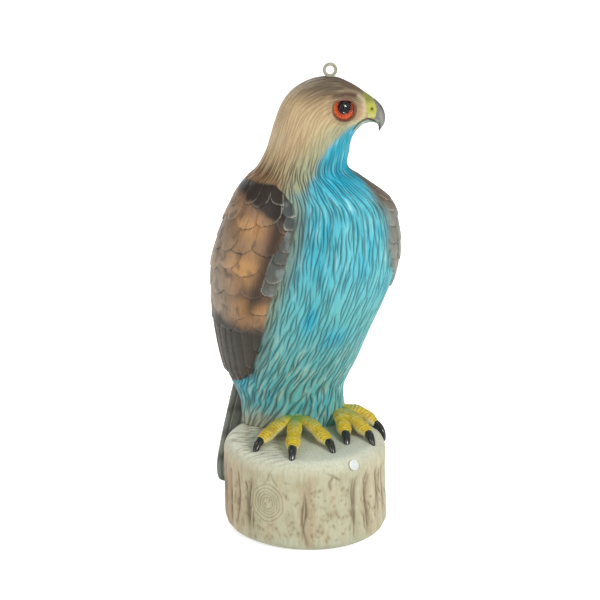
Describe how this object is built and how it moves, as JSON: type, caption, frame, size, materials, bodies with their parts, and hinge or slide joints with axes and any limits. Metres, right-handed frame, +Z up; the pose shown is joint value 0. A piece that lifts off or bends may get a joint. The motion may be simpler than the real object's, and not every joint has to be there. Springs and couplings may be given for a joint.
{
  "type": "hawk decoy",
  "caption": "Hollow painted hawk decoy perched on a log stump, with a hanging ring on its crown, set-in eyes and push-in stoppers in the stump.",
  "frame": {"origin": "middle of the whole decoy's bounding box, at the underside of the stump", "axes": "+Z up along the decoy's height, +Y from the painted front to the back, +X to the side that the beak points to"},
  "size_m": [0.1694, 0.1476, 0.4202],
  "materials": {
    "front_paint": "air-brushed satin paint: tan head, turquoise breast, brown wings",
    "rear_paint": "air-brushed satin paint: brown-grey back, wings and tail",
    "bare_plastic": "unpainted moulded plastic",
    "stump_paint": "matte stone-beige paint with brown wash in the bark",
    "white_plastic": "smooth moulded white",
    "foot_paint": "satin yellow paint with orange mottling",
    "claw_paint": "gloss black",
    "eye_black": "black moulded",
    "iris": "printed orange-red iris with a black pupil",
    "clear": "clear moulded dome"
  },
  "bodies": {
    "decoy": {"front_shell": "front_paint", "rear_shell": "rear_paint", "hanging_ring": "bare_plastic", "stump_shell": "stump_paint", "base_cover": "stump_paint", "right_foot": "foot_paint", "left_foot": "foot_paint", "right_claw_inner": "claw_paint", "right_claw_middle": "claw_paint", "right_claw_outer": "claw_paint", "left_claw_inner": "claw_paint", "left_claw_middle": "claw_paint", "left_claw_outer": "claw_paint", "right_eye_cup": "eye_black", "right_eye_iris": "iris", "right_eye_dome": "clear", "left_eye_cup": "eye_black", "left_eye_iris": "iris", "left_eye_dome": "clear"},
    "filler_plug": {"filler_plug": "white_plastic"},
    "vent_plug": {"vent_plug": "white_plastic"}
  },
  "joints": [
    {"name": "filler_plug_pull", "type": "slide", "parent": "decoy", "child": "filler_plug", "axis": [0, 0, -1], "range_m": [0, 0.016]},
    {"name": "vent_plug_pull", "type": "slide", "parent": "decoy", "child": "vent_plug", "axis": [0.4831, -0.7188, 0.5], "range_m": [0, 0.012]}
  ]
}
